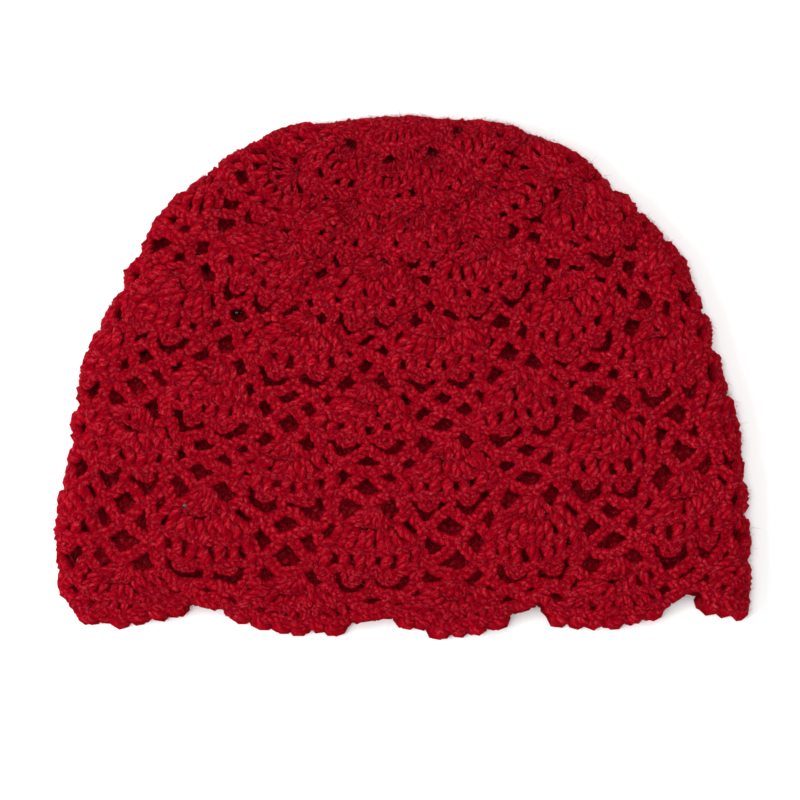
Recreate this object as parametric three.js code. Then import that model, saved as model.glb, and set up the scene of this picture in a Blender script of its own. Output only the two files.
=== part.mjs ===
// Crochet cap in a fan and net stitch, lying flat on its back with the crown
// towards +Y and the open brim towards -Y. Millimetres, +Z up, origin under the
// middle of the cap on the surface that it lies on.
import * as THREE from 'three';

// Driving dimensions
const REPEATS = 9; // pattern repeats once round the cap
const WALL = 4; // thickness of the crochet in the net
const FAN_RISE = 0.9; // how far a fan stands proud of the net
const EDGE_RADIUS = 8; // rolled side edge, to the middle of the wall
const FRONT_DOME = 3.5; // the front swells by this much in its middle
const DOME_REACH = 42; // distance from the edge at which the front is fully swollen
const PIECE_GAP = 0.3; // clearance between the crown, the body and the border

// Stitch chart: columns run round the cap, rows run from the crown to the brim
const COLUMNS_A_REPEAT = 8;
const ROWS_A_ROUND = 4;
const CROWN_ROUND = 1; // the crown disc ends at this round
const BORDER_ROUND = 8.25; // the scalloped border starts at this round
const LAST_ROUND = 9; // tip of a scallop
const SCALLOP_DEPTH = 0.34; // rounds between a scallop's tip and the notch beside it
const NET_GAP_SHARE = 0.8; // size of a gap in the net against its diamond
const FIRST_FULL_NET_ROUND = 5; // from this round on the net has three gaps a repeat

// The rounds as they lie, by the place of the left and right side edges and of the
// middle of the front and the back. Round 0 is the middle of the crown.
const ROUNDS = [
  { leftX: -2.0, leftY: 93.6, rightX: -2.0, rightY: 93.6, frontY: 96.7, backY: 96.7 },
  { leftX: -22.6, leftY: 92.1, rightX: 18.5, rightY: 92.5, frontY: 79.1, backY: 79.1 },
  { leftX: -47.5, leftY: 87.4, rightX: 43.4, rightY: 88.9, frontY: 60.7, backY: 60.3 },
  { leftX: -71.0, leftY: 74.1, rightX: 68.7, rightY: 74.8, frontY: 41.6, backY: 40.3 },
  { leftX: -90.8, leftY: 53.5, rightX: 88.9, rightY: 56.8, frontY: 21.4, backY: 18.8 },
  { leftX: -105.6, leftY: 27.2, rightX: 103.7, rightY: 35.1, frontY: -1.7, backY: -3.7 },
  { leftX: -116.4, leftY: -0.6, rightX: 114.5, rightY: 5.2, frontY: -23.7, backY: -25.7 },
  { leftX: -121.1, leftY: -29.5, rightX: 121.3, rightY: -25.1, frontY: -47.1, backY: -48.2 },
  { leftX: -125.1, leftY: -59.1, rightX: 125.0, rightY: -54.7, frontY: -72.8, backY: -72.7 },
  { leftX: -123.6, leftY: -82.1, rightX: 123.9, rightY: -82.9, frontY: -93.7, backY: -92.2 },
];

// Dents and creases of the front, as soft lines between two ends with a width
const DENTS = [
  { fromX: -21, fromY: 60, toX: -17, toY: 50, width: 13, depth: 4 },
  { fromX: 24, fromY: 58, toX: 51, toY: 34, width: 7, depth: 1.6 },
  { fromX: -36, fromY: 38, toX: -30, toY: 60, width: 7, depth: -1.6 },
  { fromX: 36, fromY: 78, toX: 54, toY: 70, width: 6, depth: -1.2 },
];

// Worked out from the dimensions above
const COLUMNS = REPEATS * COLUMNS_A_REPEAT;
const HALF_COLUMNS = COLUMNS / 2;
const MID_Z = EDGE_RADIUS + WALL / 2; // height of the side edges
const QUARTER_ROLL = (Math.PI / 2) * EDGE_RADIUS; // cloth from the edge to the flat
const ROLL_SLACK = QUARTER_ROLL - EDGE_RADIUS; // how far a flat cap would be wider
const ROUND_PITCH = 21; // cloth between two rounds
const GAP_ROUNDS = PIECE_GAP / 2 / ROUND_PITCH;
const OUTLINE_STEPS = 160;
const FLAT_BOW = 2.2; // power of the curve of the lower rounds
const SEAM_COLUMN = -COLUMNS_A_REPEAT / 2; // column on the left side edge

const WOOL = { color: 0x9c1024, roughness: 0.95, metalness: 0 };

const clamp = THREE.MathUtils.clamp;

// Smooth curve through one column of the table of rounds.
function along(name, round) {
  const last = ROUNDS.length - 1;
  const at = clamp(round, 0, last);
  const i = Math.min(Math.floor(at), last - 1);
  const f = at - i;
  const p1 = ROUNDS[i][name];
  const p2 = ROUNDS[i + 1][name];
  const p0 = i > 0 ? ROUNDS[i - 1][name] : 2 * p1 - p2;
  const p3 = i < last - 1 ? ROUNDS[i + 2][name] : 2 * p2 - p1;
  const square = 2 * p0 - 5 * p1 + 4 * p2 - p3;
  const cube = 3 * p1 - p0 - 3 * p2 + p3;
  return 0.5 * (2 * p1 + (p2 - p0) * f + square * f * f + cube * f * f * f);
}

// The outline from the brim's left end over the crown to its right end, pushed out
// to where it would be if the rolled edge were pressed flat.
function flatOutline() {
  const line = [];
  for (let i = -OUTLINE_STEPS; i <= OUTLINE_STEPS; i += 1) {
    const round = (Math.abs(i) / OUTLINE_STEPS) * LAST_ROUND;
    const side = i < 0 ? 'left' : 'right';
    line.push(new THREE.Vector2(along(side + 'X', round), along(side + 'Y', round)));
  }
  const last = line.length - 1;
  return line.map((point, i) => {
    const before = line[Math.max(i - 2, 0)];
    const after = line[Math.min(i + 2, last)];
    const travel = after.clone().sub(before).normalize();
    const outward = new THREE.Vector2(-travel.y, travel.x);
    const inset = ROLL_SLACK - WALL / 2;
    return { point: point.clone().addScaledVector(outward, inset), outward };
  });
}

const OUTLINE = flatOutline();

// Place of a side edge at a round, on the flat outline.
function sideEdge(side, round) {
  const step = (clamp(round, 0, LAST_ROUND) / LAST_ROUND) * OUTLINE_STEPS;
  const i = Math.min(Math.floor(step), OUTLINE_STEPS - 1);
  const sign = side === 'left' ? -1 : 1;
  const a = OUTLINE[OUTLINE_STEPS + sign * i].point;
  const b = OUTLINE[OUTLINE_STEPS + sign * (i + 1)].point;
  return a.clone().lerp(b, step - i);
}

// Point of the front or the back pressed flat: share 0 to 1 runs from the left side
// edge to the right one, round from the crown to the brim.
function pressedFlat(share, round, front) {
  const left = sideEdge('left', round);
  const right = sideEdge('right', round);
  const middle = along(front ? 'frontY' : 'backY', round);
  const circle = clamp((2.6 - round) / 1.6, 0, 1);
  const arc = clamp((5 - round) / 4, 0, 1);
  const across = THREE.MathUtils.lerp(share, (1 - Math.cos(Math.PI * share)) / 2, circle);
  const roundBow = Math.sin(Math.PI * share);
  const flatBow = 1 - Math.abs(2 * share - 1) ** FLAT_BOW;
  const bow = THREE.MathUtils.lerp(flatBow, roundBow, arc);
  const point = left.clone().lerp(right, across);
  point.y += (middle - (left.y + right.y) / 2) * bow;
  return point;
}

// Nearest place on the flat outline, with its distance.
function nearestEdge(point) {
  let best = null;
  for (let i = 0; i < OUTLINE.length - 1; i += 1) {
    const a = OUTLINE[i].point;
    const run = OUTLINE[i + 1].point.clone().sub(a);
    const t = clamp(point.clone().sub(a).dot(run) / run.lengthSq(), 0, 1);
    const foot = a.clone().addScaledVector(run, t);
    const distance = foot.distanceTo(point);
    if (best === null || distance < best.distance) {
      const outward = OUTLINE[i].outward.clone().lerp(OUTLINE[i + 1].outward, t);
      best = { foot, distance, outward: outward.normalize() };
    }
  }
  return best;
}

// Swell of the front, with its dents and creases.
function frontSwell(x, y, edge) {
  const rise = THREE.MathUtils.smoothstep(edge, 0, DOME_REACH);
  let swell = FRONT_DOME * rise;
  for (const dent of DENTS) {
    const runX = dent.toX - dent.fromX;
    const runY = dent.toY - dent.fromY;
    const along01 = ((x - dent.fromX) * runX + (y - dent.fromY) * runY) / (runX ** 2 + runY ** 2);
    const t = clamp(along01, 0, 1);
    const away = Math.hypot(x - dent.fromX - t * runX, y - dent.fromY - t * runY);
    swell -= dent.depth * Math.exp(-((away / dent.width) ** 2));
  }
  return swell;
}

// How much a place on the chart belongs to a fan, from 0 in the net to 1.
// A fan opens downwards from its tip and reaches past the next round.
const FAN_HALF_WIDTH = 2.7; // columns, at its widest
const FAN_LENGTH = 1.3; // rounds
function fanShare(column, round) {
  let most = 0;
  for (let tip = Math.floor(round) - 1; tip <= Math.floor(round); tip += 1) {
    const phase = tip % 2 === 0 ? 0 : COLUMNS_A_REPEAT / 2;
    const turn = (((column - phase) / COLUMNS_A_REPEAT) % 1 + 1) % 1;
    const aside = Math.min(turn, 1 - turn) * COLUMNS_A_REPEAT;
    const down = round - tip;
    const halfWidth = FAN_HALF_WIDTH * Math.sqrt(clamp(down / 0.9, 0, 1));
    const inside = clamp(halfWidth - aside + 0.5, 0, 1);
    const ends = clamp((FAN_LENGTH - down) / 0.15, 0, 1) * clamp(down / 0.12, 0, 1);
    if (tip >= CROWN_ROUND) most = Math.max(most, inside * ends);
  }
  return most;
}

// Place of a column and round on the wall, lift away from the middle of the wall.
// The fans rise from the front and the rolled edge, and are pressed flat underneath.
function onWall(column, round, lift, fanRise = 0) {
  const turn = (((column - SEAM_COLUMN) % COLUMNS) + COLUMNS) % COLUMNS;
  const front = turn <= HALF_COLUMNS;
  const share = front ? turn / HALF_COLUMNS : (COLUMNS - turn) / HALF_COLUMNS;
  const flat = pressedFlat(share, round, front);
  const edge = nearestEdge(flat);
  const angle = Math.min(edge.distance / EDGE_RADIUS, Math.PI / 2);
  const upward = front ? 1 : -1;
  let inward = edge.distance;
  if (edge.distance < QUARTER_ROLL) {
    inward = ROLL_SLACK + EDGE_RADIUS * (1 - Math.cos(angle));
  }
  const x = edge.foot.x - edge.outward.x * inward;
  const y = edge.foot.y - edge.outward.y * inward;
  const flatX = edge.distance < QUARTER_ROLL ? x : flat.x;
  const flatY = edge.distance < QUARTER_ROLL ? y : flat.y;
  let z = MID_Z + upward * EDGE_RADIUS * Math.sin(angle);
  if (front) z += frontSwell(flatX, flatY, edge.distance);
  const out = lift + (front ? fanRise : fanRise * Math.cos(angle) ** 2);
  return new THREE.Vector3(
    flatX + edge.outward.x * Math.cos(angle) * out,
    flatY + edge.outward.y * Math.cos(angle) * out,
    z + upward * Math.sin(angle) * out,
  );
}

// The gaps of the net, by the column and row of their middles.
function netGaps() {
  const gaps = [];
  for (let tip = 1; tip < Math.floor(BORDER_ROUND); tip += 1) {
    const phase = tip % 2 === 0 ? 0 : COLUMNS_A_REPEAT / 2;
    const row = (tip - CROWN_ROUND) * ROWS_A_ROUND;
    for (let repeat = 0; repeat < REPEATS; repeat += 1) {
      const column = phase + repeat * COLUMNS_A_REPEAT;
      gaps.push({ column: column + COLUMNS_A_REPEAT / 2, row: row + ROWS_A_ROUND / 2 });
      if (tip >= FIRST_FULL_NET_ROUND) {
        gaps.push({ column: column - 2, row });
        gaps.push({ column: column + 2, row });
      }
    }
  }
  return gaps.map((gap) => ({ column: gap.column % COLUMNS, row: gap.row }));
}

// A closed wall between two rounds. chartRound gives the round of a row and column,
// gaps are diamonds left out of the wall, and a wall that starts at round 0 is a cap.
function wallBetween(rowCount, chartRound, gaps = []) {
  const wrap = (column) => ((column % COLUMNS) + COLUMNS) % COLUMNS;
  const key = (column, row) => wrap(column) + row * COLUMNS;
  const missing = new Set(gaps.map((gap) => key(gap.column, gap.row)));
  const capped = chartRound(0, 0) === 0;
  const pull = new Map();
  for (const gap of gaps) {
    for (const [stepC, stepR] of [[1, 0], [-1, 0], [0, 1], [0, -1]]) {
      const corner = key(gap.column + stepC, gap.row + stepR);
      pull.set(corner, [-stepC * (1 - NET_GAP_SHARE), -stepR * (1 - NET_GAP_SHARE)]);
    }
  }
  const positions = [];
  const faces = [];
  const skins = [WALL / 2, -WALL / 2].map((lift) => {
    const index = new Map();
    for (let row = 0; row <= rowCount; row += 1) {
      for (let column = 0; column < COLUMNS; column += 1) {
        if (missing.has(key(column, row))) continue;
        if (capped && row === 0 && column > 0) continue;
        const [pullC, pullR] = pull.get(key(column, row)) ?? [0, 0];
        const round = chartRound(row + pullR, column);
        const rise = lift > 0 ? FAN_RISE * fanShare(column, round) : 0;
        index.set(key(column, row), positions.length / 3);
        positions.push(...onWall(column + pullC, round, lift, rise).toArray());
      }
    }
    return index;
  });
  const corner = (skin, column, row) => {
    const start = capped && row === 0;
    return skins[skin].get(start ? 0 : key(column, row));
  };
  // A triangle of the outer skin, with its twin of the inner skin turned over.
  const addFace = (a, b, c) => {
    if ([a, b, c].some(([column, row]) => missing.has(key(column, row)))) return;
    if (capped && [a, b, c].filter(([, row]) => row === 0).length > 1) return;
    faces.push(corner(0, ...a), corner(0, ...b), corner(0, ...c));
    faces.push(corner(1, ...a), corner(1, ...c), corner(1, ...b));
  };
  // A strip through the wall from a to b, which faces the other way when turned.
  const addThrough = (a, b, turned = false) => {
    const [outerA, innerA, outerB, innerB] = [a, b].flatMap((at) => [corner(0, ...at), corner(1, ...at)]);
    if (turned) {
      faces.push(outerA, outerB, innerB, outerA, innerB, innerA);
    } else {
      faces.push(outerA, innerB, outerB, outerA, innerA, innerB);
    }
  };
  for (let row = 0; row < rowCount; row += 1) {
    for (let column = 0; column < COLUMNS; column += 1) {
      const topLeft = [column, row];
      const topRight = [column + 1, row];
      const lowLeft = [column, row + 1];
      const lowRight = [column + 1, row + 1];
      if ((column + row) % 2 === 0) {
        addFace(topLeft, lowLeft, topRight);
        addFace(topRight, lowLeft, lowRight);
      } else {
        addFace(topLeft, lowLeft, lowRight);
        addFace(topLeft, lowRight, topRight);
      }
    }
  }
  for (const { column, row } of gaps) {
    const diamond = [[column, row - 1], [column + 1, row], [column, row + 1], [column - 1, row]];
    diamond.forEach((point, i) => addThrough(point, diamond[(i + 1) % 4]));
  }
  for (let column = 0; column < COLUMNS; column += 1) {
    if (!capped) addThrough([column, 0], [column + 1, 0], true);
    addThrough([column, rowCount], [column + 1, rowCount]);
  }
  const geometry = new THREE.BufferGeometry();
  geometry.setAttribute('position', new THREE.Float32BufferAttribute(positions, 3));
  geometry.setIndex(faces);
  return geometry;
}

// The round at a row of the body.
function bodyRound(row) {
  const round = CROWN_ROUND + row / ROWS_A_ROUND;
  return clamp(round, CROWN_ROUND + GAP_ROUNDS, BORDER_ROUND - GAP_ROUNDS);
}

// The round at a row of the border, whose free edge runs in scallops.
const BORDER_ROWS = 3;
function borderRound(row, column) {
  const turn = (((column / COLUMNS_A_REPEAT) % 1) + 1) % 1;
  const aside = 2 * Math.min(turn, 1 - turn);
  const tip = LAST_ROUND - SCALLOP_DEPTH * aside ** 3;
  const start = BORDER_ROUND + GAP_ROUNDS;
  return start + ((tip - start) * row) / BORDER_ROWS;
}

// The round at a row of the crown disc.
const CROWN_ROWS = 3;
function crownRound(row) {
  return ((CROWN_ROUND - GAP_ROUNDS) * row) / CROWN_ROWS;
}

function named(name, geometry) {
  const mesh = new THREE.Mesh(geometry, new THREE.MeshStandardMaterial(WOOL));
  mesh.name = name;
  return mesh;
}

const bodyRows = (BORDER_ROUND - CROWN_ROUND) * ROWS_A_ROUND;
const cap = new THREE.Group();
cap.add(named('crown_disc', wallBetween(CROWN_ROWS, crownRound)));
cap.add(named('fan_net_body', wallBetween(bodyRows, bodyRound, netGaps())));
cap.add(named('scallop_border', wallBetween(BORDER_ROWS, borderRound)));

export default cap;
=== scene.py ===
# Crochet cap in a fan and net stitch, worked in the round from the crown to the brim
# in one red plied wool, and lying flat on its back panel.
# Lengths are millimetres until a mesh is made, and metres from there on.
import math
from collections import namedtuple

import bpy
import numpy as np
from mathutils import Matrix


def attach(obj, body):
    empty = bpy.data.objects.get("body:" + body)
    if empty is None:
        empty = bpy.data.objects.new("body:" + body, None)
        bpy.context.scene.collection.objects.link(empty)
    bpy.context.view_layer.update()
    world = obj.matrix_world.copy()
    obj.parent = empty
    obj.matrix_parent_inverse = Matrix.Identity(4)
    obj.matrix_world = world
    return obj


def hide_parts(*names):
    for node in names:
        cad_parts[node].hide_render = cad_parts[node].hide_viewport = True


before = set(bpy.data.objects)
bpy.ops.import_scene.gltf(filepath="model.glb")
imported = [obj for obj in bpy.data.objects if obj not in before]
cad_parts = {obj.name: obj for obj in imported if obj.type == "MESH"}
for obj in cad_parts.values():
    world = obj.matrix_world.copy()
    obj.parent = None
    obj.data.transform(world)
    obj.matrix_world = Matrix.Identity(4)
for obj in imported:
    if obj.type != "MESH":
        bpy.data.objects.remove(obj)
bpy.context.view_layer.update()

MM = 0.001
RNG = np.random.default_rng(9)

# The cap as it lies, as in the part's source
REPEATS = 9                 # pattern repeats once round the cap
WALL = 4.0                  # thickness of the crochet
EDGE_RADIUS = 8.0           # rolled side edge, to the middle of the wall
FRONT_DOME = 3.5            # swell of the front in its middle
DOME_REACH = 42.0           # distance from the edge at which the front is fully swollen
LAST_ROUND = 9.0            # tip of a scallop
ROUND_DEPTH = 22.0          # depth of a round below the scallops' tips
CIRCLE_ROUNDS = (2.6, 1.0)  # half circles are gone at the first round, full at the second
ARC_ROUNDS = (5.0, 1.0)     # and so are the arcs that the rounds below them sag in
FLAT_BOW = 2.2              # the lower rounds sag less and are flatter in their middle
OUTLINE_STEPS = 160         # steps along each half of the outline
HALF_TURN = REPEATS / 2     # repeats across the front
MID_Z = EDGE_RADIUS + WALL / 2              # height of the side edge
QUARTER_ROLL = math.pi / 2 * EDGE_RADIUS    # crochet that turns up from flat to upright
ROLL_SLACK = QUARTER_ROLL - EDGE_RADIUS     # and what it is longer than it reaches

# The yarn and what is made from it
STRANDS = 3                 # strands laid round each other in a chain or post
CHAIN_STRAND = 1.30         # radius of a strand in a chain
CHAIN_SWING = 1.18          # how far a chain's strands swing sideways
CHAIN_DEPTH = 0.65          # and up and down
CHAIN_PITCH = 8.0           # one full swing of a chain
POST_STRAND = 1.05          # radius of a strand in a stitch's post
POST_SWING = 0.63           # radius of the post's twist
POST_PITCH = 8.5            # one full turn of its twist
POST_FLATNESS = 0.8         # height of the twist against its width
POST_PLIES = 0.6            # the plies of a post run nearly along it
LOBED_POST = 5.5            # a longer post is pinched by the loop round its middle
FRONT_STEP, FRONT_SIDES = 1.1, 5    # length of a strand's pieces, and its sides
BACK_STEP, BACK_SIDES = 1.6, 4
CHAIN, POST, PICOT = "chain", "post", "picot"       # kinds of stitch
PACE = {CHAIN: 1.0, POST: 1.25, PICOT: 0.75}        # length of their strands' pieces

# How far handwork strays from the chart
BACK_SLIP = (0.2, -6.0)     # the back panel lies half a net mesh below the front
SLIP_EDGE = (0.0, 13.0)     # the slip grows over these distances from the side edge
SLIP_CROWN = (0.3, 1.5)     # and over these rounds
SLIP_HEM = (7.7, 8.4)       # and is gone again over these
TIP_REACH = 0.3             # how far a measured fan moves what is round it, squared
TIP_HOLD = 0.08             # weight of the even place against the measured ones
TIP_EDGE = (2.0, 26.0)      # the measured places take over at these distances from the edge
WAVE_LENGTHS = [9.0, 11.5, 14.0, 18.0, 25.0, 37.0]
STRAY = 0.95                # sideways wander of the stitches
STRAY_EDGE = (-4.0, 12.0)   # which is less near the side edge
STRAY_HEIGHT = 0.35         # and their wander up and down
UNEVEN = (0.006, 0.012, 0.15)   # a single stitch's own, in repeats, rounds and millimetres
BACK_PRESS = 1.84           # the back is pressed wider by the weight on it
CROWN_RISE = 0.9            # the crown stands up above the top edge
CROWN_REACH = 1.5           # over about so many rounds
EDGE_OUT = 0.5              # the stitches stand out where the wall turns over
EDGE_PRESS = 0.25           # and bunch up there
BACK_LIFT = 0.85            # share of a stitch's relief that the back loses
EDGE_LIFT = 0.5             # and the share that the side edge loses
FLOOR_CLEAR = 0.02          # the yarn lies this high above the floor
FAN_PUFF = 1.3              # how far a fan's middle stands above its edges

# Where the rounds lie: their left and right side edges and the middle of the front
Round = namedtuple("Round", "left_x left_y right_x right_y front_y")
ROUNDS = [
    Round(-2.0, 93.6, -2.0, 93.6, 96.7),
    Round(-22.6, 92.1, 18.5, 92.5, 79.1),
    Round(-47.5, 87.4, 43.4, 88.9, 60.7),
    Round(-71.0, 74.1, 68.7, 74.8, 41.6),
    Round(-90.8, 53.5, 88.9, 56.8, 21.4),
    Round(-105.6, 27.2, 103.7, 35.1, -1.7),
    Round(-116.4, -0.6, 114.5, 5.2, -23.7),
    Round(-121.1, -29.5, 121.3, -25.1, -47.1),
    Round(-125.1, -59.1, 125.0, -54.7, -72.8),
    Round(-123.6, -82.1, 123.9, -82.9, -93.7),
]

# Dents (and, below zero, ridges) of the front: soft lines with a width
Dent = namedtuple("Dent", "from_x from_y to_x to_y width depth")
DENTS = [
    Dent(-21, 60, -17, 50, 13, 4.0),
    Dent(24, 58, 51, 34, 7, 1.6),
    Dent(-36, 38, -30, 60, 6, -2.4),
    Dent(36, 78, 54, 70, 6, -1.2),
]

# Where the brim hangs lower (and, below zero, higher): repeats from the left side edge,
# half width and depth
Pull = namedtuple("Pull", "turn width depth")
PULLS = [
    Pull(0.0, 0.42, 8.2), Pull(0.8, 0.15, -1.2), Pull(1.06, 0.1, 2.4), Pull(1.24, 0.1, -2.4),
    Pull(1.5, 0.3, 0.7), Pull(2.0, 0.13, 4.2), Pull(2.18, 0.1, -2.5), Pull(3.5, 0.35, 1.2),
    Pull(3.8, 0.15, 1.5), Pull(4.0, 0.2, 4.6), Pull(4.5, 0.22, 6.0),
]
PULL_ROUNDS = (7.9, 8.7)    # the pulls grow from nothing over these rounds

# Where the tips of the front's fans lie in this cap: the round, the repeats from the
# left side edge, and the place
Tip = namedtuple("Tip", "round turn x y")
TIPS = [
    Tip(1, 1.0, -17.6, 83.1), Tip(1, 2.0, -4.2, 79.1), Tip(1, 3.0, 10.9, 82.7),
    Tip(2, 0.5, -38.1, 70.5), Tip(2, 1.5, -16.8, 62.5), Tip(2, 2.5, 5.9, 60.7),
    Tip(2, 3.5, 26.8, 68.0),
    Tip(3, 1.0, -41.0, 50.3), Tip(3, 2.0, -10.3, 42.0), Tip(3, 3.0, 23.9, 48.5),
    Tip(3, 4.0, 58.9, 69.0),
    Tip(4, 0.5, -75.3, 41.3), Tip(4, 1.5, -35.6, 22.1), Tip(4, 2.5, 10.6, 21.4),
    Tip(4, 3.5, 57.5, 37.6),
    Tip(5, 1.0, -67.0, 6.6), Tip(5, 2.0, -13.2, -1.3), Tip(5, 3.0, 40.2, 3.0),
    Tip(5, 4.0, 89.6, 22.1),
    Tip(6, 0.5, -98.0, -8.5), Tip(6, 1.5, -42.8, -22.2), Tip(6, 2.5, 15.6, -23.0),
    Tip(6, 3.5, 71.6, -10.3),
    Tip(7, 1.0, -73.5, -39.2), Tip(7, 2.0, -12.1, -46.4), Tip(7, 3.0, 45.6, -41.0),
    Tip(7, 4.0, 102.2, -33.8),
    Tip(8, 0.5, -101.6, -65.5), Tip(8, 1.5, -41.0, -71.7), Tip(8, 2.5, 19.2, -72.4),
    Tip(8, 3.5, 75.2, -64.8),
]


def smoothstep(value, low, high):
    """Smooth rise from 0 at the low value to 1 at the high one."""
    t = np.clip((value - low) / (high - low), 0, 1)
    return t * t * (3 - 2 * t)


def through(p0, p1, p2, p3, t):
    """Smooth curve from the second point to the third, t running from 0 to 1."""
    square = 2 * p0 - 5 * p1 + 4 * p2 - p3
    cube = 3 * p1 - p0 - 3 * p2 + p3
    return 0.5 * (2 * p1 + (p2 - p0) * t + square * t ** 2 + cube * t ** 3)


def along(column, rounds):
    """Smooth curve through one column of the table of rounds."""
    values = np.array([getattr(r, column) for r in ROUNDS])
    first, last = 2 * values[0] - values[1], 2 * values[-1] - values[-2]
    padded = np.concatenate([[first], values, [last]])
    i = np.clip(np.asarray(rounds).astype(int), 0, len(values) - 2)
    f = np.maximum(rounds, 0) - i
    return through(*(padded[i + k] for k in range(4)), f)


def flat_outline():
    """The outline with the rolled edge pressed flat, and its outward directions."""
    left = np.linspace(LAST_ROUND, 0, OUTLINE_STEPS + 1)[:-1]
    right = np.linspace(0, LAST_ROUND, OUTLINE_STEPS + 1)
    x = np.concatenate([along("left_x", left), along("right_x", right)])
    y = np.concatenate([along("left_y", left), along("right_y", right)])
    line = np.stack([x, y], 1)
    last = len(line) - 1
    steps = np.arange(last + 1)
    travel = line[np.minimum(steps + 2, last)] - line[np.maximum(steps - 2, 0)]
    travel /= np.linalg.norm(travel, axis=1)[:, None]
    outward = np.stack([-travel[:, 1], travel[:, 0]], 1)
    return line + outward * (ROLL_SLACK - WALL / 2), outward


OUTLINE, OUTWARD = flat_outline()


def side_edge(sign, rounds):
    """Place of the left (-1) or right (1) side edge on the flat outline."""
    at = OUTLINE_STEPS + sign * np.clip(rounds, 0, LAST_ROUND) / LAST_ROUND * OUTLINE_STEPS
    steps = np.arange(len(OUTLINE))
    x = np.interp(at, steps, OUTLINE[:, 0])
    y = np.interp(at, steps, OUTLINE[:, 1])
    return x, y - np.maximum(rounds - LAST_ROUND, 0) * ROUND_DEPTH


def fading(rounds, gone, full):
    """1 up to the full round, and evenly down to 0 where it is gone."""
    return np.clip((gone - rounds) / (gone - full), 0, 1)


def pressed_flat(share, rounds):
    """A panel pressed flat: share runs from the left side edge to the right."""
    left_x, left_y = side_edge(-1, rounds)
    right_x, right_y = side_edge(1, rounds)
    middle = along("front_y", rounds)
    as_circle = fading(rounds, *CIRCLE_ROUNDS)
    as_arc = fading(rounds, *ARC_ROUNDS)
    across = share + as_circle * ((1 - np.cos(np.pi * share)) / 2 - share)
    flat_bow = 1 - np.abs(2 * share - 1) ** FLAT_BOW
    bow = flat_bow + as_arc * (np.sin(np.pi * share) - flat_bow)
    x = left_x + (right_x - left_x) * across
    y = left_y + (right_y - left_y) * across + (middle - (left_y + right_y) / 2) * bow
    return x, y


BATCH = 4000                # points set against the outline at a time


def nearest_edge(x, y):
    """Nearest place on the flat outline, its outward direction and its distance."""
    start, run = OUTLINE[:-1], np.diff(OUTLINE, axis=0)
    length2 = (run ** 2).sum(1)
    foot, outward, distance = [], [], []
    for low in range(0, len(x), BATCH):
        p = np.stack([x[low:low + BATCH], y[low:low + BATCH]], 1)
        away = p[:, None, :] - start[None]
        t = np.clip((away * run[None]).sum(2) / length2, 0, 1)
        gap = np.linalg.norm(away - t[..., None] * run[None], axis=2)
        best = gap.argmin(1)
        rows = np.arange(len(p))
        share = t[rows, best][:, None]
        direction = OUTWARD[best] * (1 - share) + OUTWARD[best + 1] * share
        foot.append(start[best] + run[best] * share)
        outward.append(direction / np.linalg.norm(direction, axis=1)[:, None])
        distance.append(gap[rows, best])
    return np.concatenate(foot), np.concatenate(outward), np.concatenate(distance)


def front_swell(x, y, edge):
    """Height that the dome, the dents and the ridges give the front."""
    swell = FRONT_DOME * smoothstep(edge, 0, DOME_REACH)
    for dent in DENTS:
        run_x, run_y = dent.to_x - dent.from_x, dent.to_y - dent.from_y
        t = ((x - dent.from_x) * run_x + (y - dent.from_y) * run_y) / (run_x ** 2 + run_y ** 2)
        t = np.clip(t, 0, 1)
        away2 = (x - dent.from_x - t * run_x) ** 2 + (y - dent.from_y - t * run_y) ** 2
        swell = swell - dent.depth * np.exp(-away2 / dent.width ** 2)
    return swell


def regular_wall(turn, rounds):
    """Middle of the wall of a cap worked with perfectly even stitches."""
    turn = np.mod(turn, REPEATS)
    front = turn <= HALF_TURN
    share = np.where(front, turn, REPEATS - turn) / HALF_TURN
    x, y = pressed_flat(share, rounds)
    foot, outward, edge = nearest_edge(x, y)
    angle = np.minimum(edge / EDGE_RADIUS, np.pi / 2)
    rolled = edge < QUARTER_ROLL
    inward = ROLL_SLACK + EDGE_RADIUS * (1 - np.cos(angle))
    x = np.where(rolled, foot[:, 0] - outward[:, 0] * inward, x)
    y = np.where(rolled, foot[:, 1] - outward[:, 1] * inward, y)
    return x, y, front, angle, outward, edge


def tip_shifts():
    """How far each measured fan lies from its even place."""
    turn = np.array([t.turn for t in TIPS])
    rounds = np.array([float(t.round) for t in TIPS])
    x, y = regular_wall(turn, rounds)[:2]
    shift = np.array([[t.x, t.y] for t in TIPS]) - np.stack([x, y], 1)
    return turn, rounds, shift


TIP_TURN, TIP_ROUND, TIP_SHIFT = tip_shifts()


WAVE_COUNT = len(WAVE_LENGTHS)
WAVES = np.stack([RNG.uniform(0, 2 * np.pi, 3 * WAVE_COUNT),
                  RNG.uniform(0, 2 * np.pi, 3 * WAVE_COUNT),
                  2 * np.pi / np.tile(WAVE_LENGTHS, 3)], 1)


def stray(x, y, way):
    """Smooth wander along x, y or z, the same for all stitches that share a place."""
    total = 0
    for direction, phase, pace in WAVES[way * WAVE_COUNT:(way + 1) * WAVE_COUNT]:
        run = x * math.cos(direction) + y * math.sin(direction)
        total = total + np.sin(run * pace + phase)
    return total / WAVE_COUNT ** 0.5


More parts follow.
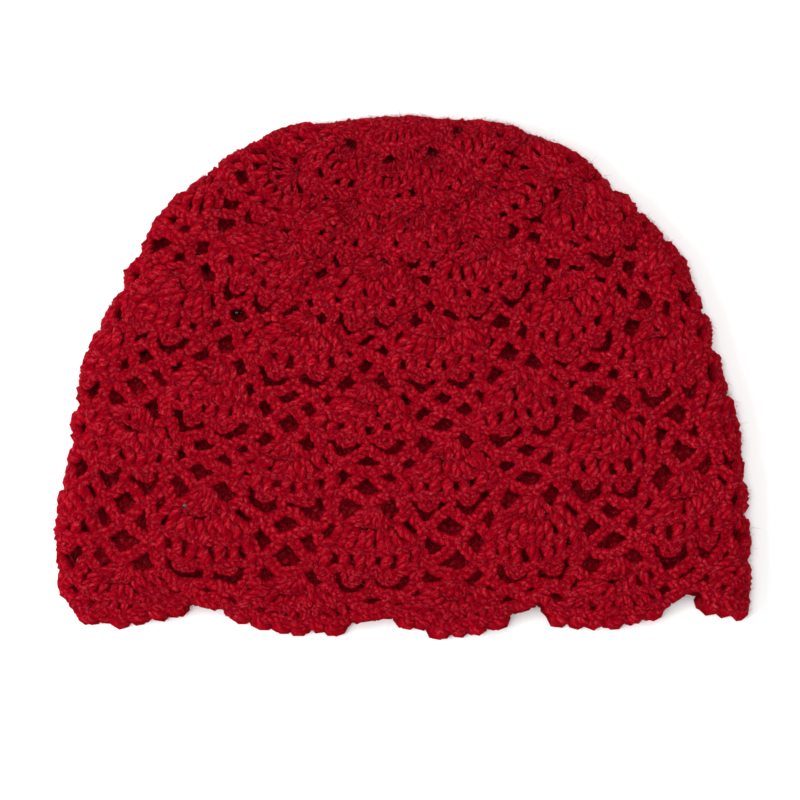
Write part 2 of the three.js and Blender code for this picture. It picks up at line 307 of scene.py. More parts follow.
def wall(turn, rounds):
    """Middle of the wall and its outward direction, with this cap's uneven fans."""
    x, y, front, angle, outward, edge = regular_wall(turn, rounds)
    across = np.mod(turn, REPEATS)
    across = np.where(front, across, REPEATS - across)
    apart2 = (across[:, None] - TIP_TURN) ** 2 + (rounds[:, None] - TIP_ROUND) ** 2
    weight = np.exp(-apart2 / TIP_REACH)
    total = weight.sum(1) + TIP_HOLD
    fade = smoothstep(edge, *TIP_EDGE)
    slip = smoothstep(edge, *SLIP_EDGE) * smoothstep(rounds, *SLIP_CROWN)
    slip = slip * (1 - smoothstep(rounds, *SLIP_HEM)) * ~front
    x = x + fade * (weight @ TIP_SHIFT[:, 0]) / total + slip * BACK_SLIP[0]
    y = y + fade * (weight @ TIP_SHIFT[:, 1]) / total + slip * BACK_SLIP[1]
    loose = STRAY * smoothstep(edge, *STRAY_EDGE)
    x, y = x + loose * stray(x, y, 0), y + loose * stray(x, y, 1)
    for pull in PULLS:
        near = np.exp(-((across - pull.turn) / pull.width) ** 2)
        y = y - pull.depth * near * smoothstep(rounds, *PULL_ROUNDS)
    y = y + CROWN_RISE * np.exp(-(rounds / CROWN_REACH) ** 2)
    upward = np.where(front, 1.0, -1.0)
    z = MID_Z + upward * EDGE_RADIUS * np.sin(angle)
    z = z + np.where(front, front_swell(x, y, edge) + STRAY_HEIGHT * stray(x, y, 2), 0)
    normal = np.stack([outward[:, 0] * np.cos(angle), outward[:, 1] * np.cos(angle),
                       upward * np.sin(angle)], 1)
    return np.stack([x, y, z], 1), normal


# Ropes: every chain, post and loop is a path of (turn, round, lift) points
class Ropes:
    """The ropes of one piece of the cap."""

    def __init__(self, name):
        self.name = name
        self.paths = []

    def add(self, kind, points, size=1.0):
        self.paths.append((kind, np.array(points, float), size))


def spline(points, pieces=6):
    """Smooth curve through points, with so many pieces between two of them."""
    if len(points) == 2:
        t = np.linspace(0, 1, pieces + 1)[:, None]
        return points[0] * (1 - t) + points[1] * t
    padded = np.concatenate([[2 * points[0] - points[1]], points, [2 * points[-1] - points[-2]]])
    t = np.linspace(0, 1, pieces, endpoint=False)[:, None]
    parts = [through(*padded[i:i + 4], t) for i in range(len(points) - 1)]
    return np.concatenate(parts + [points[-1:]])


# Shape of a fan by the round of its tip. A tier reaches half so many repeats to each
# side, ends and middle lie so many rounds below the tip, and it has so many posts
Tier = namedtuple("Tier", "half end middle posts size")
Fan = namedtuple("Fan", "round tier1 tier2 tier3 loops")
FANS = [
    Fan(1, Tier(0.38, 0.14, 0.40, 9, 0.50), Tier(0.47, 0.46, 0.68, 7, 1.00),
        Tier(0.45, 0.78, 0.92, 6, 1.00), 0.15),
    Fan(2, Tier(0.29, 0.13, 0.37, 9, 0.62), Tier(0.41, 0.46, 0.66, 9, 1.10),
        Tier(0.39, 0.78, 0.90, 7, 1.20), 0.15),
    Fan(3, Tier(0.22, 0.19, 0.34, 8, 0.86), Tier(0.35, 0.52, 0.67, 9, 1.20),
        Tier(0.33, 0.80, 0.91, 7, 1.32), 0.13),
    Fan(4, Tier(0.18, 0.24, 0.33, 6, 1.05), Tier(0.30, 0.54, 0.645, 9, 1.32),
        Tier(0.29, 0.83, 0.93, 7, 1.45), 0.12),
    Fan(5, Tier(0.16, 0.26, 0.33, 6, 1.08), Tier(0.28, 0.55, 0.645, 9, 1.32),
        Tier(0.28, 0.83, 0.93, 7, 1.45), 0.115),
    Fan(6, Tier(0.16, 0.26, 0.33, 6, 1.08), Tier(0.28, 0.55, 0.645, 9, 1.32),
        Tier(0.27, 0.83, 0.93, 7, 1.45), 0.115),
    Fan(7, Tier(0.16, 0.26, 0.33, 6, 1.08), Tier(0.28, 0.55, 0.645, 9, 1.32),
        Tier(0.27, 0.83, 0.93, 7, 1.45), 0.115),
    Fan(8, Tier(0.155, 0.22, 0.29, 6, 1.08), Tier(0.27, 0.43, 0.54, 9, 1.18),
        Tier(0.36, 0.63, 0.765, 11, 1.04), 0.0),
]
LOOP_HALF = 0.043           # half width of a loop's chain, in repeats
LOOP_PLACE = 0.115          # where a full fan's loops stand, to each side of its middle
LOOP_LOW = 1.05             # lowest point of a loop, in rounds below the tip
BORDER = 8                  # round of the fans that make the scallops
CROWN_FANS = 3              # rounds of fans that gather round the crown
CROWN_PUFF = 1.5            # they swell so much more
CROWN_SINK = -1.0           # and the net between them lies lower
CROWN_NET = (0.6, 0.8, 0.95, 1.0)   # size of its chains, round by round
NET = 1.06                  # size of the net's chains in the other rounds
TIER1_DEPTH = 0.3           # depth of a full fan's first tier, in rounds


def fan_of(tip_round):
    """The fan whose tip lies on a round, or the nearest one to it."""
    return FANS[min(max(tip_round, 1), len(FANS)) - 1]


def arc(tier, share, wider=1.0):
    """Point of a fan's tier, share -1 to 1 across it."""
    down = tier.middle + (tier.end - tier.middle) * share ** 2
    return np.array([tier.half * share * wider, down])


def net_nodes(tip_round):
    """Knots of the net under a fan, on its right half, from the fan's tip."""
    below = fan_of(tip_round + 1)
    gap1 = 0.5 - below.tier1.half
    gap2 = 0.5 - below.tier2.half
    return {
        "middle4": (0.0, 1.15), "side4": (min(0.25, gap1 * 0.75 + 0.02), 1.09),
        "side5": (0.48 * gap1, 1.31),
        "middle6": (0.0, 1.53),
        "side7": (0.74 * gap2, 1.76),
        "middle8": (0.0, 1.99),
    }


def place(tip_turn, tip_round, points, side=1):
    """Points (across, down, lift) of a fan, put on the chart."""
    return [(tip_turn + side * u, tip_round + v, lift) for u, v, lift in points]


def puffed(tip_turn, tip_round, points):
    """The same, on the swelling middle of a fan."""
    fan = fan_of(tip_round)
    puff = FAN_PUFF * (CROWN_PUFF if tip_round <= CROWN_FANS else 1.0)
    placed = []
    for u, v, lift in points:
        bulge = max(0, 1 - (u / (fan.tier2.half * 1.3)) ** 2)
        bulge *= float(smoothstep(v, 0, 0.5) * (1 - smoothstep(v, 0.85, 1.2)))
        placed.append((tip_turn + u, tip_round + v, lift + puff * bulge))
    return placed


def uneven(points):
    """Small differences from stitch to stitch."""
    return [tuple(value + RNG.normal(0, spread) for value, spread in zip(point, UNEVEN))
            for point in points]


def fan_posts(ropes, turn, tip, fan):
    """The radiating posts of the three tiers."""
    hub = 0.14 if tip == 1 else 0.03
    for s in np.linspace(-1, 1, fan.tier1.posts):
        top = arc(fan.tier1, s)
        points = [(*(top * hub / TIER1_DEPTH), 0.2), (*(top * 0.6), 0.6), (*top, 0.2)]
        points = puffed(turn, tip, uneven(points))
        ropes.add(POST, points, fan.tier1.size * RNG.uniform(0.93, 1.07))
    for s in np.linspace(-1, 1, fan.tier2.posts):
        s += RNG.normal(0, 0.02)
        foot = arc(fan.tier1, s) + (0, -0.01 + 0.07 * max(0, 1 - (1.5 * s) ** 2))
        top = arc(fan.tier2, s)
        points = [(*foot, 0.2), (*((foot + top) / 2), 0.9), (*top, 0.3)]
        points = puffed(turn, tip, uneven(points))
        ropes.add(POST, points, fan.tier2.size * RNG.uniform(0.92, 1.08))
    for s in np.linspace(-1, 1, fan.tier3.posts):
        s += RNG.normal(0, 0.015)
        foot = arc(fan.tier2, s, 0.95) + (0, 0.02)
        top = arc(fan.tier3, s)
        points = [(*foot, 0.2), (*((foot + top) / 2), 0.8), (*top, 0.3)]
        points = puffed(turn, tip, uneven(points))
        ropes.add(POST, points, fan.tier3.size * RNG.uniform(0.9, 1.1))


def fan_arcs(ropes, turn, tip, fan):
    """The chains along the tops of the tiers."""
    tops = ((fan.tier1, 0.2, 0.5), (fan.tier2, 0.7, 0.8), (fan.tier3, 0.9, 0.86))
    for tier, lift, size in tops:
        points = [(*arc(tier, s), lift) for s in np.linspace(-1.06, 1.06, 7)]
        ropes.add(CHAIN, puffed(turn, tip, points), size)


def fan_loops(ropes, turn, tip, fan):
    """The small chain loops that stand proud under the last tier."""
    for side in (-1, 1):
        middle = side * fan.loops
        half = LOOP_HALF * fan.loops / LOOP_PLACE
        top = arc(fan.tier3, middle / fan.tier3.half)[1]
        points = [(middle - half * 1.1, top, 0.9), (middle - half * 1.15, top + 0.07, 1.5),
                  (middle - half * 0.4, LOOP_LOW, 1.7), (middle + half * 0.4, LOOP_LOW, 1.7),
                  (middle + half * 1.15, top + 0.07, 1.5), (middle + half * 1.1, top, 0.9)]
        ropes.add(CHAIN, puffed(turn, tip, points), 0.62)
        inner = [(middle, top - 0.02, 1.0), (middle, LOOP_LOW - 0.01, 0.9)]
        ropes.add(POST, puffed(turn, tip, inner), 0.9)
    ends = arc(fan.tier3, 1.0)
    for points in ([(0, 0.93, 0.6), (0, 1.15, 0.4)],
                   [(-ends[0], ends[1], 0.6), (-0.25, 1.07, 0.4)],
                   [(ends[0], ends[1], 0.6), (0.25, 1.07, 0.4)]):
        ropes.add(CHAIN, puffed(turn, tip, points), 0.95)


def knot(ropes, turn, tip, node, size=0.62):
    """Short stitch that ties two arches together."""
    u, v = node
    ropes.add(POST, place(turn, tip, [(u, v - 0.05, 0.4), (u, v, 1.3), (u, v + 0.05, 0.4)]), size)


def net_under(ropes, turn, tip):
    """Chain arches of the net between a fan's loops and the fan two rounds on."""
    node = net_nodes(tip)
    m4, s4, s5 = node["middle4"], node["side4"], node["side5"]
    m6, s7, m8 = node["middle6"], node["side7"], node["middle8"]
    at_crown = tip <= CROWN_FANS
    size = CROWN_NET[tip] if at_crown else NET
    low = CROWN_SINK if at_crown else 0
    for side in (-1, 1):
        arch = [(side * s4[0], s4[1], 0.1 + low), (side * s5[0], s5[1], 0.8 + low),
                (*m4, 0.1 + low)]
        ropes.add(CHAIN, place(turn, tip, arch), size)
        knot(ropes, turn, tip, (side * s5[0], s5[1]))
    if tip < BORDER:
        m6 = (0.0, min(m6[1], BORDER + 0.39 - tip))
        arch = [(-s5[0], s5[1], 0.2 + low), (*m6, 0.8 + low), (s5[0], s5[1], 0.2 + low)]
        ropes.add(CHAIN, place(turn, tip, arch), size)
        knot(ropes, turn, tip, m6)
    if tip + 2 <= BORDER:
        arch = [(-s7[0], s7[1], 0.2 + low), (*m8, 0.8 + low), (s7[0], s7[1], 0.2 + low)]
        ropes.add(CHAIN, place(turn, tip, arch), size)
        knot(ropes, turn, tip, m8)


def net_beside(ropes, turn, tip, fan, side):
    """Chains from a fan's tiers out to the net of the fan one round above it."""
    node = net_nodes(tip - 1)

    def above(name):
        u, v = node[name]
        return 0.5 - u, v - 1
    edge1 = arc(fan.tier1, 1)
    edge2 = arc(fan.tier2, 1)
    chains = [[(*edge1, 0.5), (*above("side4"), 0.2)], [(*edge2, 0.6), (*above("side5"), 0.4)]]
    if tip < BORDER:
        chains.append([(*edge2, 0.4), (*above("side7"), 0.8), (*above("middle6"), 0.3)])
        chains.append([(0.25, 1.09, 0.4), (*above("side7"), 0.3)])
        knot(ropes, turn + side * above("side7")[0], tip, (0, above("side7")[1]))
    for points in chains:
        ropes.add(CHAIN, place(turn, tip, points, side), NET)


PICOTS = 6                  # picots on a scallop
PICOT_SIZE = 1.4


def border_edge(ropes, turn, tip, fan):
    """Edging of one scallop: small round picots, and the chain through the notch."""
    ends = np.linspace(-0.95, 0.95, PICOTS + 1)
    for low, high in zip(ends[:-1], ends[1:]):
        a = arc(fan.tier3, low) + (0, 0.05)
        b = arc(fan.tier3, high) + (0, 0.05)
        across = b - a
        drop = np.array([across[1] * -0.3, 0.07])
        points = [(*(a + across * 0.04), 0.3), (*((a + b) / 2 + drop), 0.6),
                  (*(a + across * 0.96), 0.3)]
        ropes.add(PICOT, place(turn, tip, points), PICOT_SIZE)
    edge = arc(fan.tier3, 0.85) + (0, 0.04)
    rim = [(*arc(fan.tier3, s), 0.5) for s in np.linspace(-0.8, 0.8, 7)]
    notch = [(*edge, 0.4), (0.36, 0.56, 0.4), (0.43, 0.48, 0.3), (0.5, 0.44, 0.3),
             (0.57, 0.48, 0.3), (0.64, 0.56, 0.4), (1 - edge[0], edge[1], 0.4)]
    ropes.add(CHAIN, place(turn, tip, rim), 0.85)
    ropes.add(CHAIN, place(turn, tip, notch), 0.95)


def back_rounds(ropes):
    """Close rounds of chain behind the crown's fans."""
    half_round = np.linspace(HALF_TURN, REPEATS, 24)
    for at in np.arange(0.95, 3.3, 0.2):
        ropes.add(CHAIN, [(t, at, 0.2) for t in half_round], 0.95)


def crown_rounds(ropes):
    """The first rounds of posts, worked out from a ring, and the arches round them."""
    for inner, outer, count in ((0.08, 0.44, 18), (0.44, 0.84, 36)):
        for i in range(count):
            turn = (i + 0.5) * REPEATS / count
            points = [(turn, inner, 0.3), (turn, (inner + outer) / 2, 1.0), (turn, outer, 0.5)]
            ropes.add(POST, uneven(points), 0.8)
    for at in (0.10, 0.46, 0.84):
        ropes.add(CHAIN, [(t, at, 0.6) for t in np.linspace(0, REPEATS, 46)], 0.7)
    for repeat in range(REPEATS):
        for step, low in ((0.3, 0.98), (0.43, 1.1), (0.57, 1.1), (0.7, 0.98)):
            ropes.add(POST, [(repeat + step, 0.84, 0.6), (repeat + step, low, 0.5)], 0.75)
        arch = [(repeat, 0.9, 0.6), (repeat + 0.25, 1.02, 0.5), (repeat + 0.5, 1.15, 0.5),
                (repeat + 0.75, 1.02, 0.5), (repeat + 1, 0.9, 0.6)]
        ropes.add(CHAIN, arch, 0.62)


GROUPS = ("crown_stitches", "crown_fans", "front_fans", "front_net", "back_fans", "back_net",
          "border_scallops")


def stitch_chart():
    """All ropes, in one group for each visible piece."""
    groups = {name: Ropes(name) for name in GROUPS}
    crown_rounds(groups["crown_stitches"])
    back_rounds(groups["back_net"])
    for tip in range(0, BORDER + 1):
        fan = fan_of(tip)
        first = 0.5 if tip % 2 == 0 else 1.0
        for repeat in range(REPEATS):
            turn = first + repeat
            side_name = "front" if turn % REPEATS < HALF_TURN + 0.25 else "back"
            fans, net = groups[side_name + "_fans"], groups[side_name + "_net"]
            if tip <= CROWN_FANS and side_name == "front":
                fans = net = groups["crown_fans"]
            if tip == BORDER:
                fans = net = groups["border_scallops"]
                border_edge(fans, turn, tip, fan)
            if tip >= 1:
                fan_posts(fans, turn, tip, fan)
                fan_arcs(fans, turn, tip, fan)
                for side in (-1, 1):
                    net_beside(net, turn, tip, fan, side)
            if 1 <= tip < BORDER:
                fan_loops(fans, turn, tip, fan)
            if tip < BORDER:
                net_under(net, turn, tip)
    return list(groups.values())


# From ropes to yarn
def unit(v):
    """Rows of a table of directions, made one long."""
    return v / np.maximum(np.linalg.norm(v, axis=1), 1e-9)[:, None]


def resample(points, normals, step):
    """Even steps along a path, with its own directions."""
    lengths = np.concatenate([[0], np.cumsum(np.linalg.norm(np.diff(points, axis=0), axis=1))])
    count = max(4, int(round(lengths[-1] / step)) + 1)
    at = np.linspace(0, lengths[-1], count)
    p = np.stack([np.interp(at, lengths, points[:, k]) for k in range(3)], 1)
    n = unit(np.stack([np.interp(at, lengths, normals[:, k]) for k in range(3)], 1))
    t = unit(np.gradient(p, axis=0))
    b = unit(np.cross(n, t))
    return p, unit(np.cross(t, b)), b, at


def strands_of(kind, size, at, phase):
    """Sideways and upward offsets of the strands of a rope."""
    for k in range(STRANDS):
        if kind == CHAIN:
            swing = 2 * np.pi * (at / CHAIN_PITCH + k / STRANDS + phase)
            yield CHAIN_SWING * size * np.sin(swing), CHAIN_DEPTH * size * np.sin(2 * swing)
        else:
            swing = 2 * np.pi * (at / POST_PITCH + k / STRANDS + phase)
            reach = POST_SWING * size
            yield reach * np.cos(swing), reach * POST_FLATNESS * np.sin(swing)


def plumpness(kind, at):
    """Thickness along a post or a picot, which the loops round it pinch."""
    if kind == POST:
        lobes = 2 if at[-1] > LOBED_POST else 1
        return 0.8 + 0.3 * np.abs(np.sin(lobes * np.pi * (at / at[-1]) ** 1.25))
    if kind == PICOT:
        return 0.5 + 0.55 * np.abs(np.sin(np.pi * at / at[-1])) ** 0.7
    return 1.0


class Yarn:
    """Vertices, faces and UVs of many closed tubes."""

    def __init__(self, sides):
        self.sides = sides
        self.points, self.faces, self.loop_uv, self.caps = [], [], [], []
        self.skin = []          # rows of a place, its outward and sideways directions, a radius
        self.count = 0

    def tube(self, centre, up, radius, plies=1.0, lane=0):
        """One strand: UV runs along it in millimetres and once round it, from its lane."""
        n, sides = len(centre), self.sides
        t = unit(np.gradient(centre, axis=0))
        b = unit(np.cross(t, up))
        u = np.cross(b, t)
        r = np.full(n, radius) * RNG.uniform(0.92, 1.08)
        r = r * (1 + 0.07 * np.sin(np.arange(n) * RNG.uniform(0.6, 1.4) + RNG.uniform(0, 6)))
        r[[0, -1]] *= 0.6
        angle = np.arange(sides) * 2 * np.pi / sides
        cos, sin = np.cos(angle)[None, :, None], np.sin(angle)[None, :, None]
        vertices = centre[:, None] + (cos * b[:, None] + sin * u[:, None]) * r[:, None, None]
        self.points.append(vertices.reshape(-1, 3))
        i = np.arange(n - 1)[:, None] * sides
        j = np.arange(sides)[None]
        k = (j + 1) % sides
        quads = np.stack([i + j, i + k, i + sides + k, i + sides + j], 2).reshape(-1, 4)
        self.faces.append(quads + self.count)
        along_mm = np.concatenate([[0], np.cumsum(np.linalg.norm(np.diff(centre, axis=0), axis=1))])
        along_mm = along_mm * plies + RNG.uniform(0, 40)
        a0 = np.broadcast_to(along_mm[:-1, None], (n - 1, sides))
        a1 = np.broadcast_to(along_mm[1:, None], (n - 1, sides))
        v0 = np.broadcast_to(lane + j / sides, (n - 1, sides))
        v1 = np.broadcast_to(lane + (j + 1) / sides, (n - 1, sides))
        uv = np.stack([np.stack([a0, v0], 2), np.stack([a0, v1], 2),
                       np.stack([a1, v1], 2), np.stack([a1, v0], 2)], 2)
        self.loop_uv.append(uv.reshape(-1, 2))
        self.caps.append((self.count + np.arange(sides)[::-1], 0.0))
        self.caps.append((self.count + (n - 1) * sides + np.arange(sides), along_mm[-1]))
        self.count += n * sides

    def mesh(self, name):
        """One mesh of all the tubes and their ends."""
        points = np.concatenate(self.points) * MM
        quads = np.concatenate(self.faces)
        caps = np.stack([c[0] for c in self.caps])
        cap_uv = np.concatenate([np.full((self.sides, 2), (c[1], 0.5)) for c in self.caps])
        loops = np.concatenate([quads.ravel(), caps.ravel()])
        starts = np.concatenate([np.arange(len(quads)) * 4,
                                 len(quads) * 4 + np.arange(len(caps)) * self.sides])
        sizes = np.concatenate([np.full(len(quads), 4), np.full(len(caps), self.sides)])
        mesh = bpy.data.meshes.new(name)
        mesh.vertices.add(len(points))
        mesh.vertices.foreach_set("co", points.ravel())
        mesh.loops.add(len(loops))
        mesh.loops.foreach_set("vertex_index", loops.astype(np.int32))
        mesh.polygons.add(len(starts))
        mesh.polygons.foreach_set("loop_start", starts.astype(np.int32))
        mesh.polygons.foreach_set("loop_total", sizes.astype(np.int32))
        mesh.polygons.foreach_set("use_smooth", np.ones(len(starts), bool))
        uv = mesh.uv_layers.new(name="yarn")
        uv.data.foreach_set("uv", np.concatenate([np.concatenate(self.loop_uv), cap_uv]).ravel())
        mesh.update(calc_edges=True)
        mesh.validate()
        return mesh


ROPE_RADIUS = 1.6           # from a rope's middle to where its loose fibres start


def spin(ropes, step, sides):
    """Yarn of one piece, laid along its ropes on the wall."""
    curves = [spline(points) for _, points, _ in ropes.paths]
    joined = np.concatenate(curves)
    base, normal = wall(joined[:, 0], joined[:, 1])
    flat_back = np.clip(-normal[:, 2], 0, 1)
    turned = 1 - np.abs(normal[:, 2])
    lift = joined[:, 2] * (1 - BACK_LIFT * flat_back) * (1 - EDGE_LIFT * turned)
    placed = base + normal * (lift + EDGE_OUT * turned)[:, None]
    yarn = Yarn(sides)
    press = 1 + (BACK_PRESS - 1) * flat_back + EDGE_PRESS * turned
    start = 0
    for (kind, _, size), curve in zip(ropes.paths, curves):
        part = slice(start, start + len(curve))
        start += len(curve)
        p, n, b, at = resample(placed[part], normal[part], step * PACE[kind])
        size = size * press[part].mean()
        phase = RNG.random()
        strand = CHAIN_STRAND if kind == CHAIN else POST_STRAND
        plies = 1.0 if kind == CHAIN else POST_PLIES
        plump = plumpness(kind, at)
        for sideways, upward in strands_of(kind, size * plump, at, phase):
            centre = p + b * sideways[:, None] + n * upward[:, None]
            yarn.tube(centre, n, strand * size * plump, plies)
        thick = np.full((len(p), 1), ROPE_RADIUS * size)
        yarn.skin.append(np.concatenate([p, n, b, thick], 1))
    for points in yarn.points:
        points[:, 2] = np.maximum(points[:, 2], FLOOR_CLEAR)
    return yarn


FIBRES = 18000
EDGE_FIBRES = 5.0           # how much denser they stand where the wall turns away
UP_TO_SIDE = (-0.9, -0.2)   # they grow denser as the wall turns by so much from level
UNDERSIDE = -0.5            # where it turns down more than this there are none
LONG_FIBRES = 0.04          # share of the fibres that are long
LONG = (1.5, 3.5)           # lengths of the long and the short ones
SHORT = (0.5, 1.3)
FIBRE_RADIUS = 0.04
FIBRE_LANE = 10             # where the loose fibres lie in the UV map, apart from the yarn


def loose_fibres(skin):
    """Hairs that stand off the yarn, as thin closed spindles."""
    yarn = Yarn(3)
    skin = skin[skin[:, 5] > UNDERSIDE]
    share = 1 + EDGE_FIBRES * smoothstep(-np.abs(skin[:, 5]), *UP_TO_SIDE)
    for row in skin[RNG.choice(len(skin), FIBRES, p=share / share.sum())]:
        middle, outward, sideways, radius = row[:3], row[3:6], row[6:9], row[9]
        angle = RNG.uniform(-1.5, 1.5)
        out = outward * math.cos(angle) + sideways * math.sin(angle)
        forward = np.cross(outward, sideways)
        lean = out * RNG.uniform(0.1, 1.0) + forward * RNG.uniform(-1, 1)
        lean /= np.linalg.norm(lean)
        is_long = RNG.random() < LONG_FIBRES
        length = RNG.uniform(*LONG) if is_long else RNG.uniform(*SHORT)
        t = np.array([0, 0.5, 1] if is_long else [0, 1])[:, None]
        bend = RNG.normal(0, 0.25 * length, 3)
        hair = middle + out * radius + lean * length * t + bend * t * t
        yarn.tube(hair, outward, FIBRE_RADIUS, lane=FIBRE_LANE)
    return yarn


# Materials
def linear(hex_colour):
    """Linear colour from an sRGB hex value."""
    channels = [int(hex_colour[i:i + 2], 16) / 255 for i in (1, 3, 5)]
    dark = [c / 12.92 for c in channels]
    light = [((c + 0.055) / 1.055) ** 2.4 for c in channels]
    return [d if c <= 0.04045 else e for c, d, e in zip(channels, dark, light)] + [1.0]


MATH, NOISE, MIX = "ShaderNodeMath", "ShaderNodeTexNoise", "ShaderNodeMix"
MIX_COLOURS = {"sockets": (0, 6, 7), "output": 2, "data_type": "RGBA"}  # share, two colours


def add_node(tree, kind, *values, sockets=None, output=0, **settings):
    """Add a node with its settings, set or link its sockets, and return one output."""
    node = tree.nodes.new(kind)
    for key, value in settings.items():
        setattr(node, key, value)
    for key, value in zip(sockets or range(len(values)), values):
        if isinstance(value, bpy.types.NodeSocket):
            tree.links.new(value, node.inputs[key])
        else:
            node.inputs[key].default_value = value
    return node.outputs[output]


PAINTED_SHADE_RED = linear("#74000E")        # painted shade, in the grooves between the plies and on the flanks of each strand
WOOL_RED = linear("#920012")        # the dyed wool itself
PAINTED_HIGHLIGHT_RED = linear("#DA4F5C")        # painted highlight, where the fibre on a ply's crest catches the light
PALE_LIT_FIBRE_RED = linear("#E0505A")       # a loose fibre, paler than the strands: painted light, for a hair lit against the white floor
GLOW = 0.5                          # share of the light that goes into a strand
WOOL_SURFACE = {
    "Roughness": 0.95,
    "Specular IOR Level": 0.01,
    "Sheen Weight": 0.015,
    "Sheen Roughness": 0.45,
    "Sheen Tint": linear("#E03040"),
    "Subsurface Radius": (1.0, 0.12, 0.16),
    "Subsurface Scale": 4 * MM,
}
PLIES = 2.0                         # plies in a strand
PLY_TURNS = 0.36                    # a ply crosses the strand's top every 2.8 mm
STREAKS_ROUND = 7.0                 # streaks of fibre across a ply
STREAKS_ALONG = 1.3                 # and along a millimetre of it
FUZZ_PER_MM = 1.1                   # the fuzz is drawn about 1 mm wide, so that it shows
HIGHLIGHT_PATCHES_PER_MM = 0.21                   # patches of the painted highlight are about 5 mm wide
HIGHLIGHT_FROM = 0.46                    # painted highlight where the fibre noise stands higher than this
HIGHLIGHT_SHARE = 3.6                    # and how soon the painted highlight is full
BUMP_DEPTH = 0.7 * MM               # from a groove to a crest, with the fibre on it


def red_wool():
    """Plied wool: matte red fibre with the bump of the plies that wind round each strand.
    Painted shade darkens the grooves between the plies and the flanks of each strand, and a
    painted highlight pales the ply crests away from the flanks, in patches set by two noises."""
    material = bpy.data.materials.new("red_plied_wool")
    material.use_nodes = True
    tree = material.node_tree
    shader = tree.nodes["Principled BSDF"]
    for name, value in WOOL_SURFACE.items():
        shader.inputs[name].default_value = value

    uv = add_node(tree, "ShaderNodeUVMap", uv_map="yarn")
    length, around = add_node(tree, "ShaderNodeSeparateXYZ", uv).node.outputs[:2]
    turned = add_node(tree, MATH, around, PLIES, operation="MULTIPLY")
    winding = add_node(tree, MATH, length, PLY_TURNS, turned, operation="MULTIPLY_ADD")
    ply_angle = add_node(tree, MATH, winding, 2 * math.pi, operation="MULTIPLY")
    ply = add_node(tree, MATH, ply_angle, operation="SINE")
    crest = add_node(tree, MATH, ply, 0.5, 0.5, operation="MULTIPLY_ADD")
    side_angle = add_node(tree, MATH, around, 2 * math.pi, operation="MULTIPLY")
    side = add_node(tree, MATH, side_angle, operation="SINE")
    facing = add_node(tree, MATH, side, operation="ABSOLUTE")
    upper = add_node(tree, MATH, facing, 0.65, 0.35, operation="MULTIPLY_ADD")

    here = add_node(tree, "ShaderNodeTexCoord", output="Object")
    across = add_node(tree, MATH, winding, STREAKS_ROUND, operation="MULTIPLY")
    down = add_node(tree, MATH, length, STREAKS_ALONG, operation="MULTIPLY")
    streaks = add_node(tree, "ShaderNodeCombineXYZ", across, down, 0.0)
    pattern = ("Vector", "Scale", "Detail", "Roughness")
    fibre = add_node(tree, NOISE, streaks, 1.0, 2.0, 0.6, sockets=pattern)
    fuzz = add_node(tree, NOISE, here, FUZZ_PER_MM / MM, 2.0, sockets=pattern[:3])
    highlight_patches = add_node(tree, NOISE, here, HIGHLIGHT_PATCHES_PER_MM / MM, 2.0, sockets=pattern[:3])
    fibre_share = add_node(tree, MATH, fibre, 0.7, operation="MULTIPLY")
    hairs = add_node(tree, MATH, fuzz, 0.3, fibre_share, operation="MULTIPLY_ADD")

    relief = add_node(tree, MATH, hairs, 1.2, operation="MULTIPLY")
    height = add_node(tree, MATH, crest, 0.8, relief, operation="MULTIPLY_ADD")
    bump = add_node(tree, "ShaderNodeBump", 0.8, BUMP_DEPTH, height,
                    sockets=("Strength", "Distance", "Height"))
    tree.links.new(bump, shader.inputs["Normal"])

    # Painted shade: a darker red on the flanks of each strand and in the grooves between its plies
    soft_upper = add_node(tree, MATH, upper, 0.8, operation="POWER")
    soft_crest = add_node(tree, MATH, crest, 0.6, 0.4, operation="MULTIPLY_ADD")
    lit = add_node(tree, MATH, soft_upper, soft_crest, operation="MULTIPLY", use_clamp=True)
    red = add_node(tree, MIX, lit, PAINTED_SHADE_RED, WOOL_RED, **MIX_COLOURS)
    # Painted highlight: a pale red on the ply crests away from the strand's flanks, where the fibre
    # noise stands high, in patches
    sharp_upper = add_node(tree, MATH, upper, 2.0, operation="POWER")
    top = add_node(tree, MATH, sharp_upper, crest, operation="MULTIPLY")
    standing = add_node(tree, MATH, hairs, HIGHLIGHT_FROM, operation="SUBTRACT")
    patchy = add_node(tree, MATH, highlight_patches, HIGHLIGHT_SHARE, operation="MULTIPLY")
    highlight_reach = add_node(tree, MATH, patchy, top, operation="MULTIPLY")
    painted_highlight = add_node(tree, MATH, standing, highlight_reach, operation="MULTIPLY", use_clamp=True)
    yarn = add_node(tree, MIX, painted_highlight, red, PAINTED_HIGHLIGHT_RED, **MIX_COLOURS)
    # Loose fibres get a paler red: painted light, for a hair lit against the white floor
    loose = add_node(tree, MATH, around, FIBRE_LANE - 1.0, operation="GREATER_THAN")
    colour = add_node(tree, MIX, loose, yarn, PALE_LIT_FIBRE_RED, **MIX_COLOURS)
    tree.links.new(colour, shader.inputs["Base Color"])
    # Light that enters a strand glows red inside it, but a single hair is too thin for that
    glow = add_node(tree, MATH, loose, -GLOW, GLOW, operation="MULTIPLY_ADD")
    tree.links.new(glow, shader.inputs["Subsurface Weight"])
    return material


def white_paper():
    """Smooth uncoated paper: the eye sees an even white with no shine."""
    material = bpy.data.materials.new("white_paper")
    material.use_nodes = True
    shader = material.node_tree.nodes["Principled BSDF"]
    shader.inputs["Base Color"].default_value = linear("#F7F7F7")
    shader.inputs["Roughness"].default_value = 0.9
    return material


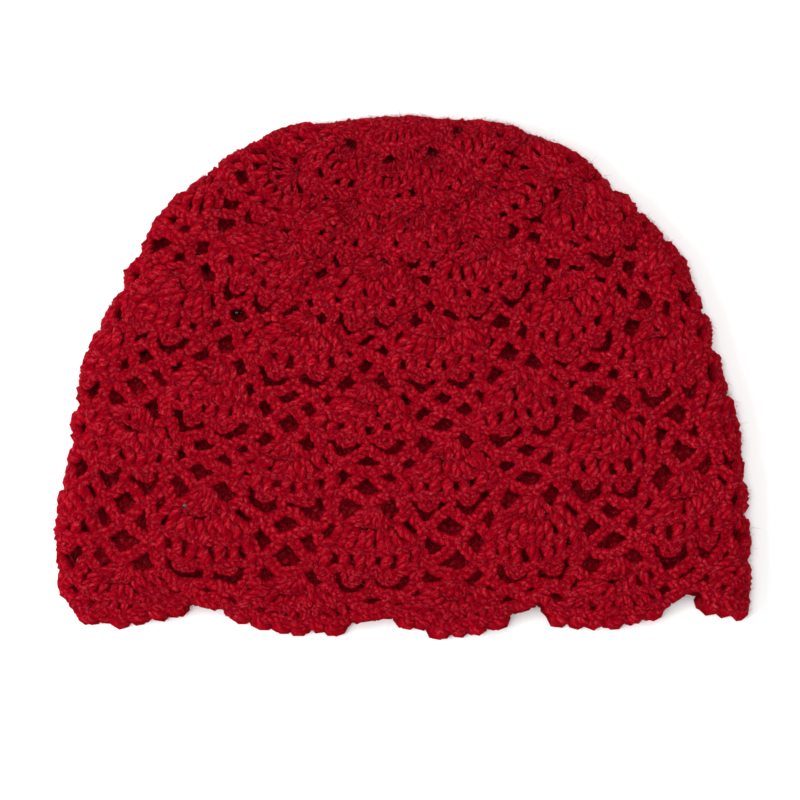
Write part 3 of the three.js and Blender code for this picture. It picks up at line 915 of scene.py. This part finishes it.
WOOL = red_wool()
REPLACED = {
    "crown_stitches": ["crown_disc"],
    "crown_fans": ["fan_net_body"],
    "front_fans": ["fan_net_body"],
    "front_net": ["fan_net_body"],
    "back_fans": ["fan_net_body"],
    "back_net": ["fan_net_body"],
    "border_scallops": ["scallop_border"],
}


def add_piece(name, yarn):
    """One visible piece, in the place of the solids that it stands for."""
    mesh = yarn.mesh(name)
    mesh.materials.append(WOOL)
    piece = bpy.data.objects.new(name, mesh)
    bpy.context.scene.collection.objects.link(piece)
    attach(piece, "root")
    if name in REPLACED:
        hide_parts(*REPLACED[name])


def build_cap():
    """The pieces of crochet one by one, and the loose fibres over all of them."""
    skin = []
    for ropes in stitch_chart():
        back = ropes.name.startswith("back")
        step, sides = (BACK_STEP, BACK_SIDES) if back else (FRONT_STEP, FRONT_SIDES)
        yarn = spin(ropes, step, sides)
        skin.extend(yarn.skin)
        add_piece(ropes.name, yarn)
    add_piece("loose_fibres", loose_fibres(np.concatenate(skin)))


# Floor, light and camera, in metres
PHOTO_WIDTH = 800           # in pixels
PIXEL = 0.3608 * MM         # one pixel of the photo on the cap
CAP_TOP = 0.02              # height at which a pixel has this size
PHOTO_MIDDLE = (-1.3 * MM, -8.5 * MM)   # place under the middle of the photo
CAMERA_HEIGHT = 1.6
SENSOR = 36.0               # in millimetres, as the lens is
FARTHEST = 20               # the camera sees nothing beyond this
FLOOR_WIDTH = 6.0
SOFT_LIGHT = 0.48           # strength of the light from all round

Lamp = namedtuple("Lamp", "name place size power")
LAMPS = [
    Lamp("window", (-1.0, -0.2, 1.3), 0.7, 18),
    Lamp("ceiling", (-0.1, 0.25, 2.3), 0.9, 37),
]


def add_floor():
    """A sheet of white paper that the cap lies on."""
    bpy.ops.object.select_all(action="DESELECT")
    bpy.ops.mesh.primitive_plane_add(size=FLOOR_WIDTH, location=(0, 0, 0))
    floor = bpy.context.object
    floor.name = "floor"
    floor.data.materials.append(white_paper())


def add_lamp(lamp):
    """A soft square lamp that points at the middle of the cap."""
    light = bpy.data.lights.new(lamp.name, "AREA")
    light.shape = "SQUARE"
    light.size = lamp.size
    light.energy = lamp.power
    holder = bpy.data.objects.new(lamp.name, light)
    holder.location = lamp.place
    x, y, z = lamp.place
    holder.rotation_euler = (math.atan2(math.hypot(x, y), z), 0, math.atan2(-x, y) + math.pi)
    bpy.context.scene.collection.objects.link(holder)


def add_camera():
    """A camera straight above, as far up as the photo's view needs."""
    camera = bpy.data.cameras.new("camera")
    camera.sensor_width = SENSOR
    camera.lens = SENSOR * (CAMERA_HEIGHT - CAP_TOP) / (PHOTO_WIDTH * PIXEL)
    camera.clip_end = FARTHEST
    holder = bpy.data.objects.new("camera", camera)
    holder.location = (*PHOTO_MIDDLE, CAMERA_HEIGHT)
    bpy.context.scene.collection.objects.link(holder)
    bpy.context.scene.camera = holder


def add_world():
    """Even white light from all round."""
    world = bpy.data.worlds.new("soft_white")
    world.use_nodes = True
    background = world.node_tree.nodes["Background"]
    background.inputs["Color"].default_value = (1, 1, 1, 1)
    background.inputs["Strength"].default_value = SOFT_LIGHT
    bpy.context.scene.world = world
    bpy.context.scene.view_settings.view_transform = "Standard"


add_camera()
build_cap()
add_floor()
for lamp in LAMPS:
    add_lamp(lamp)
add_world()
